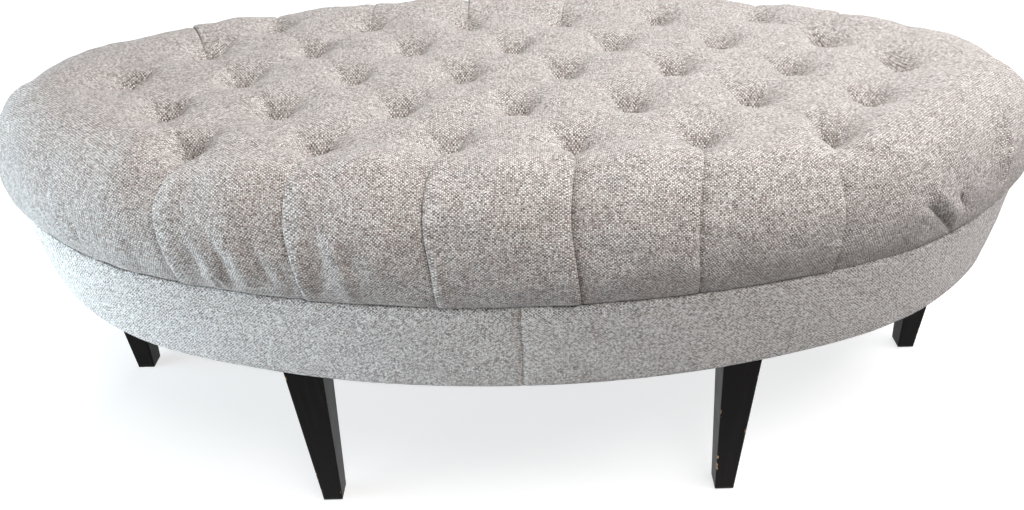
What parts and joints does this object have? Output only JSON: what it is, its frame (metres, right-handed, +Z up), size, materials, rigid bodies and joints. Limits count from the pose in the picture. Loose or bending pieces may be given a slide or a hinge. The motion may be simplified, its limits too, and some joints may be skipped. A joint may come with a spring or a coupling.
{
  "type": "tufted ottoman coffee table",
  "caption": "Oval upholstered ottoman coffee table: deep-tufted cloth top, plain cloth band and square tapered wooden legs.",
  "frame": {"origin": "on the floor, at the middle of the oval", "axes": "+X along the oval's length, to the right in the picture; +Y away from the viewer; +Z up"},
  "size_m": [1.2498, 0.5899, 0.49],
  "materials": {
    "foam": "matte",
    "wadding": "matte",
    "upholstery_cloth": "matte",
    "twine": "matte",
    "staple_steel": "satin",
    "zinc_steel": "satin",
    "plywood": "matte",
    "bending_plywood": "matte",
    "pine": "matte",
    "card": "matte",
    "dust_cloth": "matte",
    "nylon": "satin",
    "espresso_wood": "satin"
  },
  "bodies": {
    "root": {"foam_pad": "foam", "batting": "wadding", "tufted_cover": "upholstery_cloth", "tufting_twine": "twine", "twine_staples": "staple_steel", "cover_staples": "staple_steel", "strip_staples": "staple_steel", "hem_staples": "staple_steel", "dust_staples": "staple_steel", "deck": "plywood", "deck_screws": "zinc_steel", "ring_screws": "zinc_steel", "tack_strip": "card", "band_padding": "wadding", "dust_cover": "dust_cloth", "leg_glides": "nylon", "hanger_bolts": "zinc_steel", "tee_nuts": "zinc_steel", "ring_front": "plywood", "ring_back": "plywood", "ring_left": "plywood", "ring_right": "plywood", "side_panel_front": "bending_plywood", "side_panel_back": "bending_plywood", "band_cover_left": "upholstery_cloth", "band_cover_right": "upholstery_cloth", "leg_block_front_left": "pine", "leg_block_front_right": "pine", "leg_block_back_left": "pine", "leg_block_back_right": "pine", "leg_block_left_end": "pine", "leg_block_right_end": "pine", "spacer_post_01": "pine", "spacer_post_02": "pine", "spacer_post_03": "pine", "spacer_post_04": "pine", "spacer_post_05": "pine", "spacer_post_06": "pine", "spacer_post_07": "pine", "spacer_post_08": "pine", "spacer_post_09": "pine", "spacer_post_10": "pine", "spacer_post_11": "pine", "spacer_post_12": "pine", "cross_rail_left": "pine", "cross_rail_right": "pine", "centre_rail_front": "pine", "centre_rail_back": "pine", "leg_front_left": "espresso_wood", "leg_front_right": "espresso_wood", "leg_back_left": "espresso_wood", "leg_back_right": "espresso_wood", "leg_left_end": "espresso_wood", "leg_right_end": "espresso_wood"}
  },
  "joints": []
}
